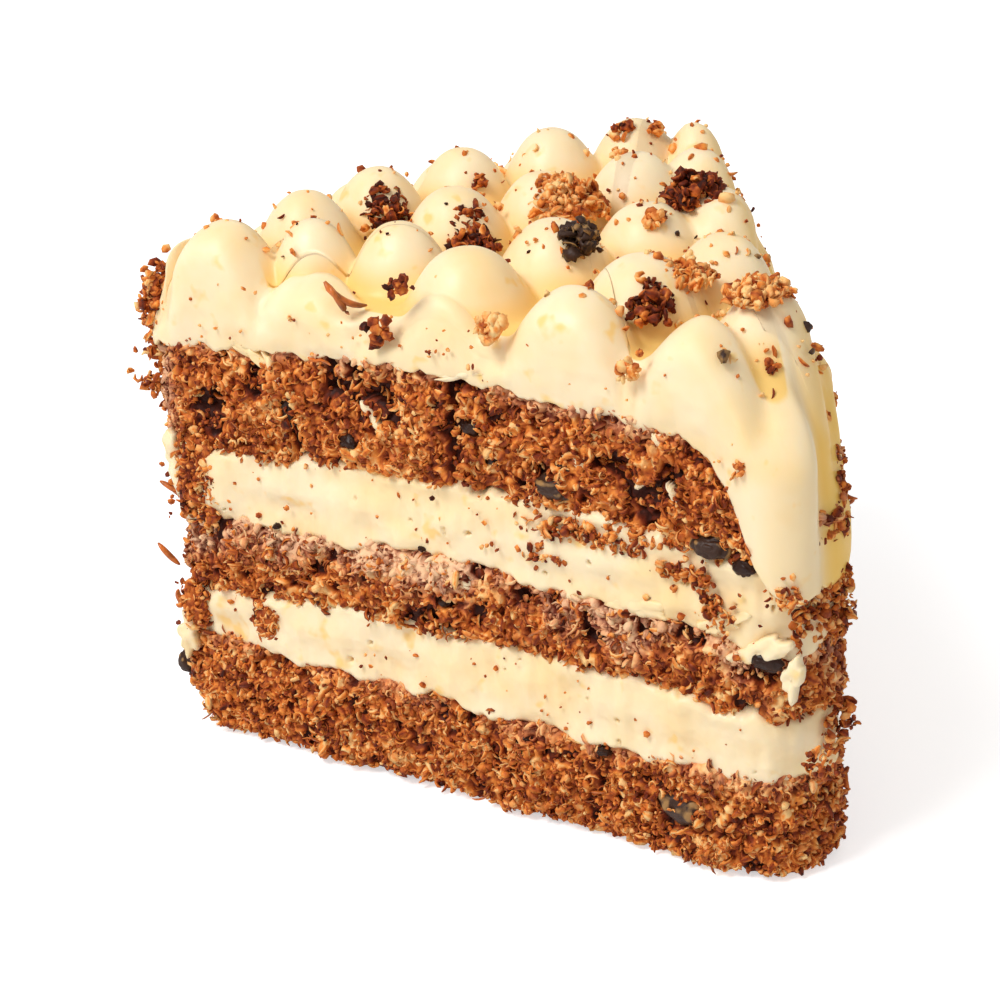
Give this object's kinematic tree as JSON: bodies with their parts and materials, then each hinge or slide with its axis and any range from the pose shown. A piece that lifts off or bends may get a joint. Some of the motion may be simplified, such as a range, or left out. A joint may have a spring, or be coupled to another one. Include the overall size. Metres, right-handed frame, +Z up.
{
  "type": "slice of carrot cake",
  "caption": "Wedge slice of layered carrot cake with cream fillings, a top piped in round cream domes that runs over the point, and crumb clumps on it.",
  "frame": {"origin": "centre of the base under the whole slice's box", "axes": "+Z up, +X along the slice towards its point, +Y across towards the second cut"},
  "size_m": [0.1058, 0.097, 0.0826],
  "materials": {
    "sponge": "moist open crumb, matte",
    "cream": "smooth soft-gloss cream",
    "crumb": "rough crumbs, matte",
    "walnut": "dull nut with a darker skin"
  },
  "bodies": {
    "root": {"sponge_bottom": "sponge", "filling_lower": "cream", "sponge_middle": "sponge", "filling_upper": "cream", "sponge_top": "sponge", "cream_top": "cream", "crumb_clump_1": "crumb", "crumb_clump_2": "crumb", "crumb_clump_3": "crumb", "crumb_clump_4": "crumb", "crumb_clump_5": "crumb", "crumb_clump_6": "crumb", "crumb_clump_7": "crumb", "crumb_clump_8": "crumb", "walnut_piece_1": "walnut", "walnut_piece_2": "walnut", "walnut_piece_3": "walnut"}
  },
  "joints": []
}
